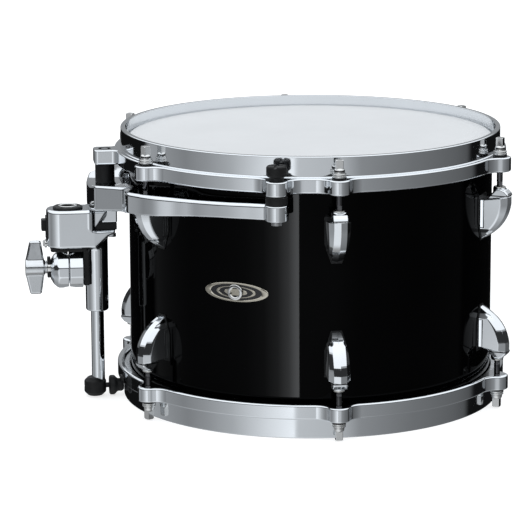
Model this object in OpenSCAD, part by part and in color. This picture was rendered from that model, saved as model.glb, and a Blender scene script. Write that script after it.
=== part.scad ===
// Tom tom drum with die-cast hoops, a hoop-hung suspension mount and an L-rod receiver.
// Millimetres. Origin on the drum's axis in the plane of the lower rim, +Z up,
// the mount on the -X side and one lug facing -Y.
// Heights called h are measured from the middle of the drum. Both ends are mirror images.

/* [Shell] */
// Outside diameter of the shell
shell_d = 330.2; // [320:0.1:340]
// Height of the shell between its bearing edges
shell_depth = 228.6; // [220:0.1:240]
// Thickness of the shell wall
shell_wall = 7; // [5:0.5:9]

/* [Heads] */
// Thickness of a head's film
film_t = 0.5; // [0.3:0.1:0.8]
// Width of a flesh hoop's channel
flesh_w = 5.4; // [4.5:0.1:5.6]

/* [Hoops] */
// Distance that a rim stands out past the shell's edge
rim_over = 9.5; // [8:0.5:11]
// Height of the wide skirt that carries the ears
skirt_h = 13.3; // [12:0.1:14]
// Wall of the narrow collar above the skirt
collar_wall = 4.5; // [3.5:0.1:5]
// Radius of a tension-rod ear
ear_r = 9.9; // [9:0.1:11]

/* [Lugs and rods] */
// Number of tension rods on each head
lug_count = 6; // [6:1:6]
// Diameter of a tension rod
rod_d = 5.5; // [5:0.1:6]
// Width across the flats of a rod's square key head
key_head = 6.4; // [6:0.1:6.8]
// Width of a lug at the shell
lug_w = 19.6; // [18:0.2:22]

/* [Mount] */
// Half of the angle between the two end ears of the arm
arm_half_angle = 73.5; // [72:0.5:74]
// Diameter of the L-rod that the receiver takes
l_rod_d = 12; // [11.5:0.1:12.2]
// Diameter of the support rod below the receiver
support_d = 12; // [11:0.1:12.4]
// Height of the bumper's screw above the floor
bumper_z = 9.6; // [9.4:0.1:10]

/* [Hidden] */
$fn = 96;
shell_r = shell_d / 2;
mid = shell_depth / 2 + rim_over;
edge_h = shell_depth / 2;
rim_h = mid;
fit = 0.05;
sides = [1, -1];
side_name = ["batter", "resonant"];

// hoop levels and radii
skirt_top = edge_h - 8.5;
skirt_bottom = skirt_top - skirt_h;
skirt_out = shell_r + 12.4;
skirt_in = shell_r + 7.2;
collar_out = shell_r + 6.9;
collar_in = collar_out - collar_wall;
film_drop_r = shell_r + 1.8;

// rod circle and the stack on each ear
rod_circle = shell_r + 16;
nylon_h = 1.9;
steel_h = 3.3;
stack_0 = skirt_top;
stack_1 = stack_0 + nylon_h;
stack_2 = stack_1 + steel_h;
rod_tip = 55;
lug_face = 78;

// lug outline: side view as [radius, h], plan as [radius, y], front view as [y, h]
gasket_t = 0.8;
lug_out = shell_r + 27.3;
lug_screw_h = [40, 58];

// mount: radii measured from the drum's axis towards -X
mount_a = -90;
spacer_x = shell_r + 21.9;
end_ear_x = shell_r + 22.9;
end_ear_r = 10;
end_ear_h0 = skirt_bottom - 21.4;
end_ear_h1 = end_ear_h0 + 14;
bolt_r = 3;
tube_x = shell_r + 30.7;
tube_r = 10.4;
tube_bottom = -43;
l_rod_x = shell_r + 56;
l_rod_r = l_rod_d / 2 + 0.1;
body_out = l_rod_x + 19.5;
body_in = l_rod_x - 22.7;
body_half_w = 17.5;
body_h0 = 17.5;
body_h1 = 52;
shelf_h = 33.5;
pad_h = 6.5;
neck_h0 = shelf_h + pad_h;
neck_screw_x = shell_r + 16.8;
neck_screw_y = 9;
end_hole_r = 6.3;
stud_r = 2.3;
flat_turn = 32;
set_screw_h = -31;
cap_x = tube_x + 3.1;
cap_r = 10;
wing_h = -2;
jaw_h = -4.3;
jaw_flats = 33;
liner_h = 14.2;
jaw_gap = 0.8;
eye_travel = 1.8;
jaw_in = l_rod_x - 12.7;
jaw_out = l_rod_x + 13.5;
washer_out = jaw_out + 6;
cap_h0 = 1 - mid;
cap_h1 = cap_h0 + 17;
bumper_h = bumper_z - mid;

// arm stations: [degrees from the front, inner radius, outer radius, lower h, upper h]
arm_half = [
    [17, 10, 24, 71, 84.9], [24, 7.4, 21.4, 71, 84.8], [34, 6.9, 20.9, 70.3, 84],
    [41, 7.4, 21.4, 69, 83.2], [46, 12, 25.5, 67.8, 83.4], [50.5, 22, 32.5, 67, 84.2],
    [55, 28.5, 35, 66.2, 84.2], [61, 28.5, 35, 64.8, 83], [64, 23, 31, 63, 82.2],
    [68, 12, 23.4, 60.5, 81], [72, 7, 18.6, 58.4, 80], [76, 6.4, 15.4, 57, 79.4],
    [78.6, 6.2, 14.4, 56, 79], [80, 6.2, 33.5, 55.5, 78.6], [83, 6.2, 37.8, 54.6, 77.4],
    [86, 6.2, 38.4, 54, 75.3], [90, 6.2, 38.6, 53.6, 75.3]];
arm_last = len(arm_half) - 1;
arm_rows = concat(arm_half,
    [for (i = [arm_last - 1:-1:0]) concat([180 - arm_half[i][0]], [for (k = [1:4]) arm_half[i][k]])]);
arm_chamfer = 2.2;

// ---- placing helpers ----

// Local frame at an azimuth: +X points outwards, heights are measured from the middle.
module at_azimuth(a) { translate([0, 0, mid]) rotate([0, 0, a - 90]) children(); }

// The same, turned over for the lower end of the drum.
module at_end(a, side) {
    at_azimuth(a) if (side > 0) children(); else mirror([0, 0, 1]) children();
}

module all_lugs(ends = sides) {
    for (side = ends) for (i = [0:lug_count - 1]) at_end(i * 360 / lug_count, side) children();
}

module on_mount() { at_azimuth(mount_a) children(); }

module ring(r_out, r_in, h0, h1) {
    translate([0, 0, h0]) difference() {
        cylinder(r = r_out, h = h1 - h0);
        translate([0, 0, -1]) cylinder(r = r_in, h = h1 - h0 + 2);
    }
}

// A cylinder along local +X from x0 to x1.
module rod_x(r, x0, x1) { translate([x0, 0, 0]) rotate([0, 90, 0]) cylinder(r = r, h = x1 - x0); }

function bezier(a, b, c, n) =
    [for (i = [0:n]) let (t = i / n) (1 - t) * (1 - t) * a + 2 * t * (1 - t) * b + t * t * c];
function arc(cx, cy, r, a0, a1, n) =
    [for (i = [0:n]) let (a = a0 + (a1 - a0) * i / n) [cx + r * cos(a), cy + r * sin(a)]];
function flip_y(points) = [for (i = [len(points) - 1:-1:0]) [points[i][0], -points[i][1]]];

// ---- shell ----

module shell() {
    lip = 1.8;
    color("#101012") difference() {
        translate([0, 0, mid]) rotate_extrude($fn = 180) polygon([
            [shell_r - shell_wall, -edge_h + shell_wall - lip], [shell_r - lip, -edge_h],
            [shell_r, -edge_h + lip], [shell_r, edge_h - lip],
            [shell_r - lip, edge_h], [shell_r - shell_wall, edge_h - shell_wall + lip]]);
        all_lugs() for (h = lug_screw_h) translate([0, 0, h]) rod_x(2.3, shell_r - 12, shell_r + 3);
        at_badge() rod_x(5.6, shell_r - 12, shell_r + 3);
    }
}

// ---- badge and vent ----

badge_a = -30.7;
module at_badge() { at_azimuth(badge_a) translate([0, 0, 2]) children(); }

module badge() {
    half_w = 30;
    half_h = 8.5;
    outline = [for (i = [0:71]) [half_w * cos(i * 5), half_h * sin(i * 5)]];
    color("#c9c6bd") difference() {
        intersection() {
            at_badge() rotate([90, 0, 90]) linear_extrude(shell_r + 20) polygon(outline);
            translate([0, 0, mid]) ring(shell_r + 1.5, shell_r, -20, 20);
        }
        at_badge() rod_x(5.6, shell_r - 12, shell_r + 3);
    }
}

module vent_eyelet() {
    at_badge() color("#b9bcc0") rotate([0, 90, 0]) rotate_extrude() polygon([
        [4.2, shell_r - 9.6], [7.6, shell_r - 9.6], [7.6, shell_r - 8.8], [5.5, shell_r - 8.8],
        [5.5, shell_r + 1.9], [7.4, shell_r + 1.9], [6.6, shell_r + 2.9], [4.8, shell_r + 3.1],
        [4.2, shell_r + 2.6]]);
}

// ---- heads ----

module film() {
    e = edge_h;
    color("#dfe0e2") rotate_extrude($fn = 180) polygon([
        [0, e], [shell_r - 1.8, e], [shell_r + 0.4, e - 2], [film_drop_r, skirt_top - 0.5],
        [film_drop_r, skirt_top - 7.4], [film_drop_r + film_t, skirt_top - 7.4],
        [film_drop_r + film_t, skirt_top - 0.3], [shell_r + 1.1, e - 1.6],
        [shell_r - 1.5, e + film_t], [0, e + film_t]]);
}

module flesh_hoop() {
    r0 = film_drop_r - 1;
    top = skirt_top - 1;
    color("#b6b9bd") difference() {
        ring(r0 + flesh_w, r0, top - 8.3, top);
        ring(film_drop_r + film_t, film_drop_r, top - 6.4, top + 1);
    }
}

module batter_film() { translate([0, 0, mid]) film(); }
module resonant_film() { translate([0, 0, mid]) mirror([0, 0, 1]) film(); }
module batter_flesh_hoop() { translate([0, 0, mid]) flesh_hoop(); }
module resonant_flesh_hoop() { translate([0, 0, mid]) mirror([0, 0, 1]) flesh_hoop(); }

// ---- hoops ----

// Outline of a round ear at radius c, blended into the skirt by concave fillets.
function ear_side(c, e, f) =
    let (th = acos((pow(skirt_out + f, 2) + c * c - pow(e + f, 2)) / (2 * (skirt_out + f) * c)),
         fx = (skirt_out + f) * cos(th), fy = (skirt_out + f) * sin(th),
         phi = atan2(-fy, c - fx) + 360)
    concat(arc(fx, fy, f, th + 180, phi, 8), arc(c, 0, e, phi - 180, 0, 14));
function ear_outline(c, e, f) =
    let (half = ear_side(c, e, f)) concat([[skirt_in + 2, half[0][1]]], half,
        flip_y([for (i = [0:len(half) - 2]) half[i]]), [[skirt_in + 2, -half[0][1]]]);

module hoop_ear(c, e) {
    translate([0, 0, skirt_bottom]) linear_extrude(skirt_h) polygon(ear_outline(c, e, 8));
}

module hoop_ring() {
    t = skirt_top;
    rotate_extrude($fn = 180) polygon(concat(
        [[skirt_in, skirt_bottom], [skirt_out - 1, skirt_bottom], [skirt_out, skirt_bottom + 1]],
        arc(skirt_out - 3, t - 3, 3, 0, 90, 5),
        [[collar_out + 1, t], [collar_out, t + 1]],
        arc(collar_out - 1.6, rim_h - 1.6, 1.6, 0, 90, 4),
        arc(collar_in + 1.6, rim_h - 1.6, 1.6, 90, 180, 4),
        [[collar_in, t - 1], [skirt_in, t - 1]]));
}

module ear_hole(c, r) { translate([c, 0, skirt_bottom - 1]) cylinder(r = r, h = skirt_h + 2); }

module centre_ear() {
    half_w = 11;
    round_r = 4;
    far = spacer_x + 10;
    corner = arc(far - round_r, half_w - round_r, round_r, 90, 0, 6);
    translate([0, 0, skirt_bottom]) linear_extrude(skirt_h) polygon(concat(
        [[skirt_in + 2, half_w]], corner, flip_y(corner), [[skirt_in + 2, -half_w]]));
}

module at_end_ears() { for (s = sides) at_azimuth(mount_a + s * arm_half_angle) children(); }

module batter_hoop() {
    color("#b9bfc6") difference() {
        union() {
            at_end(0, 1) hoop_ring();
            all_lugs([1]) hoop_ear(rod_circle, ear_r);
            on_mount() centre_ear();
            at_end_ears() hoop_ear(end_ear_x, end_ear_r);
        }
        all_lugs([1]) ear_hole(rod_circle, 3.3);
        on_mount() ear_hole(spacer_x, 6.3);
        at_end_ears() ear_hole(end_ear_x, end_hole_r);
    }
}

module resonant_hoop() {
    color("#b9bfc6") difference() {
        union() {
            at_end(0, -1) hoop_ring();
            all_lugs([-1]) hoop_ear(rod_circle, ear_r);
        }
        all_lugs([-1]) ear_hole(rod_circle, 3.3);
    }
}

// ---- lugs ----

lug_side = concat([[shell_r - 3, 30.5], [shell_r + 2.5, 30.5]],
    bezier([shell_r + 3, 30.8], [shell_r + 25, 42], [lug_out, 60], 9),
    [[lug_out, 70], [lug_out - 6, 77], [lug_out - 8.5, 77], [shell_r, 70], [shell_r - 3, 70]]);
lug_plan = [[shell_r - 3, -lug_w / 2], [lug_out - 2, -6.2], [lug_out, 0],
    [lug_out - 2, 6.2], [shell_r - 3, lug_w / 2]];
function lug_front(m) = [[-4 - m, 30.3 - m], [4 + m, 30.3 - m], [lug_w / 2 + m, 47], [lug_w / 2 + m, 70 + m],
    [6.5 + m, 78 + m], [-6.5 - m, 78 + m], [-lug_w / 2 - m, 70 + m], [-lug_w / 2 - m, 47]];

module lug_body() {
    difference() {
        union() {
            intersection() {
                rotate([90, 0, 0]) linear_extrude(lug_w + 4, center = true) polygon(lug_side);
                translate([0, 0, 20]) linear_extrude(70) polygon(lug_plan);
                rotate([90, 0, 90]) linear_extrude(shell_r + 40) polygon(lug_front(0));
            }
            translate([rod_circle, 0, 72]) cylinder(r = 5.8, h = lug_face - 72);
        }
        cylinder(r = shell_r + gasket_t, h = 100);
        translate([rod_circle, 0, 62.6]) cylinder(r = 4.55, h = 20);
        translate([rod_circle, 0, 52]) cylinder(r = 3.3, h = 12);
        for (h = lug_screw_h) translate([0, 0, h]) rod_x(2.02, shell_r - 1, shell_r + 9.5);
    }
}

module batter_lugs() { color("#b9bfc6") all_lugs([1]) lug_body(); }
module resonant_lugs() { color("#b9bfc6") all_lugs([-1]) lug_body(); }

module lug_gaskets() {
    color("#1a1a1a") all_lugs() difference() {
        intersection() {
            rotate([90, 0, 90]) linear_extrude(shell_r + 40) polygon(
                [for (p = lug_front(0.7)) [p[0], min(p[1], 70.7)]]);
            ring(shell_r + gasket_t, shell_r, 25, 75);
        }
        for (h = lug_screw_h) translate([0, 0, h]) rod_x(2.3, shell_r - 2, shell_r + 3);
    }
}

module lug_screws() {
    head = shell_r - shell_wall - 1.2;
    color("#8d9094") all_lugs() for (h = lug_screw_h) translate([0, 0, h]) {
        rod_x(2, head - 0.2, shell_r + 9);
        rod_x(3.6, head - 3, head);
    }
}

module lug_screw_washers() {
    face = shell_r - shell_wall;
    color("#a4a7ab") all_lugs() for (h = lug_screw_h) translate([0, 0, h]) difference() {
        rod_x(4.6, face - 1.2, face - 0.1);
        rod_x(2.1, face - 2, face + 1);
    }
}

module swivel_nuts() {
    color("#c0b48a") all_lugs() translate([rod_circle, 0, 0]) difference() {
        union() {
            translate([0, 0, 62.8]) cylinder(r = 4.5, h = lug_face - 62.8 + 0.2);
            translate([0, 0, lug_face]) cylinder(r = 5.4, h = 1);
        }
        translate([0, 0, 60]) cylinder(r = rod_d / 2 + fit, h = 25);
    }
}

// ---- tension rods and their washers ----

module tension_rod(i, side) {
    top = rim_h - 1.1;
    color("#c4c8cc") at_end(i * 360 / lug_count, side) translate([rod_circle, 0, 0]) {
        translate([0, 0, rod_tip]) cylinder(r = rod_d / 2, h = top - rod_tip - 2);
        translate([0, 0, stack_2]) rotate_extrude() polygon(concat([[0, 0], [4.9, 0]],
            bezier([4.9, 1.4], [4.7, 3.6], [3.4, 4.5], 5), [[0, 4.5]]));
        intersection() {
            translate([-key_head / 2, -key_head / 2, stack_2 + 4])
                cube([key_head, key_head, top - stack_2 - 4]);
            translate([0, 0, stack_2]) cylinder(r1 = key_head + 8, r2 = 3.9, h = top - stack_2);
        }
    }
}

module steel_washers() {
    color("#c4c8cc") all_lugs() translate([rod_circle, 0, stack_1]) rotate_extrude() polygon([
        [3.2, 0], [6.2, 0], [6.2, 1.2], [5.3, 1.5], [5.3, 2], [6, 2.3], [6, 3], [5.6, steel_h],
        [3.2, steel_h]]);
}

module nylon_washers() {
    color("#141414") all_lugs() translate([rod_circle, 0, 0]) ring(6.2, 3.1, stack_0, stack_1);
}

// ---- suspension arm ----

function arm_ring(row) =
    let (c = arm_chamfer, i = shell_r + row[1], o = shell_r + row[2], b = row[3], t = row[4])
    [for (p = [[i, b + c], [i + c, b], [o - c, b], [o, b + c],
               [o, t - c], [o - c, t], [i + c, t], [i, t - c]])
        [-p[0] * sin(row[0]), -p[0] * cos(row[0]), p[1]]];

module arm_bar() {
    n = 8;
    count = len(arm_rows);
    points = [for (row = arm_rows) each arm_ring(row)];
    walls = [for (k = [0:count - 2]) for (j = [0:n - 1]) let (a = k * n + j, b = k * n + (j + 1) % n)
        each [[a, a + n, b], [b, a + n, b + n]]];
    ends = [for (j = [1:n - 2]) each [[0, j, j + 1],
        [(count - 1) * n, (count - 1) * n + j + 1, (count - 1) * n + j]]];
    polyhedron(points, concat(walls, ends));
}

module arm_neck() {
    rotate([90, 0, 0]) linear_extrude(26, center = true) polygon([
        [shell_r + 12.6, neck_h0], [shell_r + 26.5, neck_h0], [shell_r + 26.5, neck_h0 + 1],
        [shell_r + 21.5, neck_h0 + 9.5], [shell_r + 21.5, 60], [shell_r + 12.6, 60]]);
}

module mount_arm() {
    color("#b3bac2") difference() {
        union() {
            translate([0, 0, mid]) arm_bar();
            on_mount() arm_neck();
            for (s = sides) at_azimuth(mount_a + s * arm_half_angle)
                translate([end_ear_x, 0, end_ear_h0]) cylinder(r = end_ear_r, h = end_ear_h1 - end_ear_h0);
        }
        for (s = sides) at_azimuth(mount_a + s * arm_half_angle)
            translate([end_ear_x, 0, end_ear_h0 - 2]) cylinder(r = bolt_r + 0.05, h = 20);
        on_mount() translate([spacer_x, 0, 62]) cylinder(r = bolt_r + 0.05, h = 30);
        on_mount() for (s = sides) translate([neck_screw_x, s * neck_screw_y, neck_h0 - 1])
            cylinder(r = 2.05, h = 13);
    }
}

module centre_spacer() {
    seat = arm_half[arm_last][4];
    color("#17181a") on_mount() translate([spacer_x, 0, 0]) difference() {
        union() {
            translate([0, 0, seat]) cylinder(r = 8.75, h = skirt_bottom - seat);
            translate([0, 0, seat]) cylinder(r = 6.2, h = skirt_top - seat);
        }
        translate([0, 0, seat - 1]) cylinder(r = bolt_r + 0.05, h = 22);
    }
}

module end_spacer(s) {
    color("#17181a") at_azimuth(mount_a + s * arm_half_angle) translate([end_ear_x, 0, 0]) {
        ring(9.6, bolt_r + 0.05, end_ear_h1, skirt_bottom);
        ring(end_hole_r - 0.1, bolt_r + 0.05, end_ear_h1, skirt_top);
    }
}
module front_spacer() { end_spacer(1); }
module rear_spacer() { end_spacer(-1); }

module end_cap(s) {
    r = 8.85;
    top = skirt_top + 13;
    color("#17181a") at_azimuth(mount_a + s * arm_half_angle) translate([end_ear_x, 0, 0]) difference() {
        translate([0, 0, skirt_top]) rotate_extrude() polygon(concat(
            [[0, 0], [end_hole_r - 0.1, 0], [end_hole_r, 1.8], [r, 4.4]],
            arc(r - 1.5, 11.5, 1.5, 0, 90, 4), [[0, 13]]));
        translate([0, 0, skirt_top - 1]) cylinder(r = bolt_r + 0.05, h = 8);
        for (a = [0, 90]) rotate([0, 0, a]) translate([-2 * r, -1.6, top - 2.6]) cube([4 * r, 3.2, 4]);
    }
}
module front_cap() { end_cap(1); }
module rear_cap() { end_cap(-1); }

module mount_bolts() {
    color("#8d9094") {
        for (s = sides) at_azimuth(mount_a + s * arm_half_angle) translate([end_ear_x, 0, 0]) {
            translate([0, 0, end_ear_h0 - 0.5]) cylinder(r = bolt_r, h = skirt_top + 6.5 - end_ear_h0);
            translate([0, 0, end_ear_h0 - 3.5]) cylinder(r = 5, h = 3.4);
        }
        on_mount() translate([spacer_x, 0, 62.2]) cylinder(r = bolt_r, h = 32);
    }
}

// ---- L-rod receiver ----

module receiver_plan(margin) {
    r = 13;
    e = 5;
    o = body_out + margin;
    w = body_half_w + margin;
    polygon(concat(arc(o - r, -w + r, r, -90, 0, 8), arc(o - r, w - r, r, 0, 90, 8),
        arc(body_in + e, w - e, e, 90, 180, 5), arc(body_in + e, -w + e, e, 180, 270, 5)));
}

module receiver_shelf() {
    w = body_half_w - 0.2;
    intersection() {
        rotate([90, 0, 0]) linear_extrude(2 * body_half_w, center = true) polygon([
            [body_in + 2, body_h0], [tube_x + 1, body_h0], [shell_r + 26, 22.5],
            [shell_r + 20, 28], [shell_r + 14.5, 30.3], [shell_r + 14, shelf_h],
            [shell_r + 33.4, shelf_h], [body_in + 2, shelf_h + 5]]);
        linear_extrude(body_h1) polygon([
            [shell_r + 12, -14], [body_in, -w], [body_in + 3, -w],
            [body_in + 3, w], [body_in, w], [shell_r + 12, 14]]);
    }
}

// The direction that the support rod's flat faces, from the tube's axis towards -X
module at_flat() {
    translate([tube_x, 0, 0]) rotate([0, 0, -flat_turn]) children();
}

module receiver() {
    slot_r = 6.6;
    color("#b3bac2") on_mount() difference() {
        union() {
            translate([0, 0, body_h0]) linear_extrude(body_h1 - body_h0) receiver_plan(0);
            receiver_shelf();
            rotate([90, 0, 0]) linear_extrude(22, center = true) polygon([
                [body_in + 2, shelf_h - 1], [shell_r + 35.2, shelf_h - 1], [shell_r + 35.2, shelf_h + 0.6],
                [shell_r + 27.4, 46], [shell_r + 27.4, 49], [body_in + 2, body_h1 - 1]]);
            translate([tube_x, 0, tube_bottom]) cylinder(r = tube_r, h = shelf_h - tube_bottom);
        }
        translate([l_rod_x, 0, body_h0 - 1]) cylinder(r = l_rod_r, h = body_h1);
        translate([l_rod_x, 0, body_h1 - 7]) cylinder(r = 8.8, h = 10);
        translate([tube_x, 0, tube_bottom - 1]) cylinder(r = support_d / 2 + fit, h = 55);
        at_flat() translate([0, 0, set_screw_h]) rod_x(2.55, -12, -2);
        translate([body_out - 4.5, -8, 24]) cube([10, 16, 21]);
        translate([0, 0, 20]) rod_x(2.55, body_out - 12, body_out + 2);
        for (s = sides) translate([neck_screw_x, s * neck_screw_y, 0]) {
            translate([0, 0, shelf_h - 14]) cylinder(r = 2.3, h = 16);
            translate([0, 0, body_h0]) cylinder(r = 3.9, h = shelf_h - 4 - body_h0);
        }
    }
}

module receiver_pad() {
    color("#141416") on_mount() difference() {
        rotate([90, 0, 0]) linear_extrude(26, center = true) polygon([
            [shell_r + 12.6, shelf_h], [shell_r + 33, shelf_h], [shell_r + 33, shelf_h + 0.5],
            [shell_r + 29, neck_h0], [shell_r + 12.6, neck_h0]]);
        for (s = sides) translate([neck_screw_x, s * neck_screw_y, shelf_h - 1]) cylinder(r = 2.3, h = 16);
    }
}

module receiver_screws() {
    color("#8d9094") on_mount() for (s = sides) translate([neck_screw_x, s * neck_screw_y, 0]) {
        translate([0, 0, shelf_h - 5]) cylinder(r = 2, h = 17);
        translate([0, 0, shelf_h - 7]) cylinder(r = 3.6, h = 2.9);
    }
}

module l_rod_bush() {
    color("#c4c8cc") on_mount() translate([l_rod_x, 0, 0]) ring(8.75, l_rod_r, body_h1 - 7, body_h1 + 3);
}

module bush_collar() {
    color("#141416") on_mount() translate([l_rod_x, 0, body_h1]) rotate_extrude() polygon([
        [8.8, 0], [13.5, 0], [13.5, 1], [12.3, 2.2], [8.8, 2.2]]);
}

module end_plug() {
    color("#141416") on_mount() union() {
        translate([body_out - 4.4, -7.9, 24.1]) cube([5.2, 15.8, 20.8]);
        translate([body_out + 0.5, -5, 32]) cube([4.2, 10, 10.5]);
    }
}

module key_screw() {
    color("#c4c8cc") on_mount() translate([0, 0, 20]) {
        rod_x(2.5, body_out - 9, body_out + 1);
        rod_x(3.9, body_out, body_out + 2);
        translate([body_out + 1.9, -2.4, -2.4]) cube([1.7, 4.8, 4.8]);
    }
}

// ---- L-rod clamp ----

module jaw_liner() {
    color("#0d0d0e") on_mount() difference() {
        union() {
            translate([jaw_in - 5.4, -14, liner_h])
                cube([body_out + 2.4 - jaw_in, 28, body_h0 - liner_h]);
            translate([jaw_in - 5.4, -11, -18]) cube([5.3, 22, liner_h + 19]);
        }
        translate([l_rod_x, 0, 0]) cylinder(r = 6.6, h = 30);
        translate([tube_x, 0, -30]) cylinder(r = tube_r + fit, h = 60);
    }
}

module jaw_cut() {
    translate([l_rod_x, 0, -40]) cylinder(r = 6.6, h = 70);
    for (dx = [0, -eye_travel]) translate([l_rod_x + dx, 0, wing_h - 5.5]) cylinder(r = 9.4, h = 11);
    translate([l_rod_x - eye_travel, -9.4, wing_h - 5.5]) cube([eye_travel, 18.8, 11]);
    translate([0, 0, wing_h]) rod_x(4.4, l_rod_x, jaw_out + 5);
}

module jaw_bar(x0, x1) {
    translate([x0, 0, jaw_h]) rotate([0, 90, 0]) rotate([0, 0, 15])
        cylinder(r = jaw_flats / 2 / cos(15), h = x1 - x0, $fn = 12);
}

module jaw_inner() {
    color("#bdc2c8") on_mount() difference() {
        jaw_bar(jaw_in, l_rod_x - jaw_gap / 2);
        jaw_cut();
    }
}

module jaw_outer() {
    color("#bdc2c8") on_mount() difference() {
        intersection() {
            jaw_bar(l_rod_x + jaw_gap / 2, jaw_out + 3);
            translate([l_rod_x, 0, jaw_h]) rotate([0, 90, 0]) rotate_extrude() polygon([
                [0, 0], [19, 0], [18.6, 4.5], [16.8, 9], [13.2, 13.5],
                [9.5, jaw_out + 3 - l_rod_x], [0, 17]]);
        }
        jaw_cut();
    }
}

module eye_bolt() {
    color("#9a9da1") on_mount() translate([0, 0, wing_h]) difference() {
        union() {
            translate([l_rod_x, 0, -4.5]) cylinder(r = 9, h = 9);
            rod_x(4, l_rod_x + 7, washer_out + 16);
        }
        translate([l_rod_x, 0, -10]) cylinder(r = 6.6, h = 20);
    }
}

module wing_washer() {
    color("#c4c8cc") on_mount() translate([0, 0, wing_h]) difference() {
        rod_x(9.8, jaw_out + 3, washer_out);
        rod_x(4.3, jaw_out, washer_out + 1);
    }
}

module wing_nut() {
    reach = 25;
    root = [washer_out + 4.6, washer_out + 17.9];
    tip = [washer_out + 7.1, washer_out + 13.7];
    color("#b3bac2") on_mount() translate([0, 0, wing_h]) difference() {
        union() {
            rod_x(5.9, washer_out + 0.1, washer_out + 8);
            rod_x(7.2, washer_out + 3.5, washer_out + 19.9);
            for (s = sides) hull() {
                for (x = root) translate([x, 0, s * 4]) rotate([90, 0, 0])
                    cylinder(r = 2, h = 7, center = true, $fn = 32);
                for (x = tip) translate([x, 0, s * (reach - 2.6)]) rotate([90, 0, 0])
                    cylinder(r = 2.6, h = 5, center = true, $fn = 32);
            }
        }
        rod_x(4 + fit, washer_out - 1, washer_out + 16.2);
    }
}

// ---- support rod and bumper ----

module support_rod() {
    color("#c4c8cc") on_mount() difference() {
        translate([tube_x, 0, cap_h0 + 4]) cylinder(r = support_d / 2, h = -cap_h0 - 10);
        at_flat() translate([-10, -10, -85.7]) cube([5, 20, 90]);
        translate([0, 0, bumper_h]) rod_x(stud_r + fit, tube_x - 9, tube_x + 3);
    }
}

module set_screw() {
    color("#2a2b2d") on_mount() at_flat() translate([0, 0, set_screw_h]) rod_x(2.5, -9.2, -5.6);
}

module rod_cap() {
    c = 3.4;
    color("#141416") on_mount() difference() {
        translate([cap_x, 0, cap_h0]) rotate_extrude($fn = 48) polygon([
            [0, 0], [cap_r - c, 0], [cap_r, c], [cap_r, 17 - c], [cap_r - c, 17], [0, 17]]);
        translate([tube_x, 0, cap_h0 + 4]) cylinder(r = support_d / 2, h = 20);
        translate([0, 0, bumper_h]) rod_x(stud_r + fit, tube_x - 12, tube_x);
    }
}

module bumper_stud() {
    color("#1c1c1e") on_mount() translate([0, 0, bumper_h]) rod_x(stud_r, tube_x - 17, tube_x - 1);
}

module bumper_knob() {
    near = cap_x - cap_r - 2.8;
    color("#141416") on_mount() translate([0, 0, bumper_h]) difference() {
        translate([near, 0, 0]) rotate([0, -90, 0]) rotate_extrude() polygon([
            [0, 0], [7.8, 0], [9, 1], [9, 4.4], [8, 5.6], [5.9, 7.6], [5.9, 11.4], [4.4, 13.4], [0, 13.4]]);
        rod_x(stud_r + fit, tube_x - 17.2, tube_x);
    }
}

shell();
vent_eyelet();
badge();
batter_film();
batter_flesh_hoop();
batter_hoop();
resonant_film();
resonant_flesh_hoop();
resonant_hoop();
batter_lugs();
resonant_lugs();
lug_gaskets();
lug_screws();
lug_screw_washers();
swivel_nuts();
steel_washers();
nylon_washers();
for (k = [0, 1]) for (i = [0:lug_count - 1])
    tension_rod(i, sides[k]);
mount_arm();
centre_spacer();
front_spacer();
rear_spacer();
front_cap();
rear_cap();
mount_bolts();
receiver();
receiver_pad();
receiver_screws();
l_rod_bush();
bush_collar();
end_plug();
key_screw();
jaw_liner();
jaw_inner();
jaw_outer();
eye_bolt();
wing_washer();
wing_nut();
support_rod();
set_screw();
rod_cap();
bumper_stud();
bumper_knob();
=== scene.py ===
import math

import bmesh
import bpy
import numpy as np
from mathutils import Matrix, Vector


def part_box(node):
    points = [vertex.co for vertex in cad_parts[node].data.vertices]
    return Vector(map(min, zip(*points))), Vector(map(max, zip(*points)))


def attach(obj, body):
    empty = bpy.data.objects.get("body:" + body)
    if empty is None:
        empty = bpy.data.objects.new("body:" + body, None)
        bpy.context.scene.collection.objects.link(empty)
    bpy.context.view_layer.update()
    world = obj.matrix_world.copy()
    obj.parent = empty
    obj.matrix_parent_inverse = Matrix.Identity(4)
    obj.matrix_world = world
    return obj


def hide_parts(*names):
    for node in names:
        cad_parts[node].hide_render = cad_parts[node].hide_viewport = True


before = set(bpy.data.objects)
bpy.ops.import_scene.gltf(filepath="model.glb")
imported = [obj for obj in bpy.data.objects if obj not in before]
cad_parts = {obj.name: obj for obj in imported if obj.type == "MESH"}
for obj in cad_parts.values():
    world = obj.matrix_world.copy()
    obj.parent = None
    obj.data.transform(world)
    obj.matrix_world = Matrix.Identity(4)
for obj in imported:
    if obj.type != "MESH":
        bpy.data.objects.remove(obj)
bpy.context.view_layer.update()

MM = 0.001
SIDES = (1, -1)
END_NAME = {1: "batter", -1: "resonant"}


def box(node):
    """Lowest and highest corner of a CAD node, in millimetres."""
    lo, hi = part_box(node)
    return np.array(lo) / MM, np.array(hi) / MM


# ---- sizes, in millimetres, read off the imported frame; h is the height above the drum's middle ----

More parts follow.
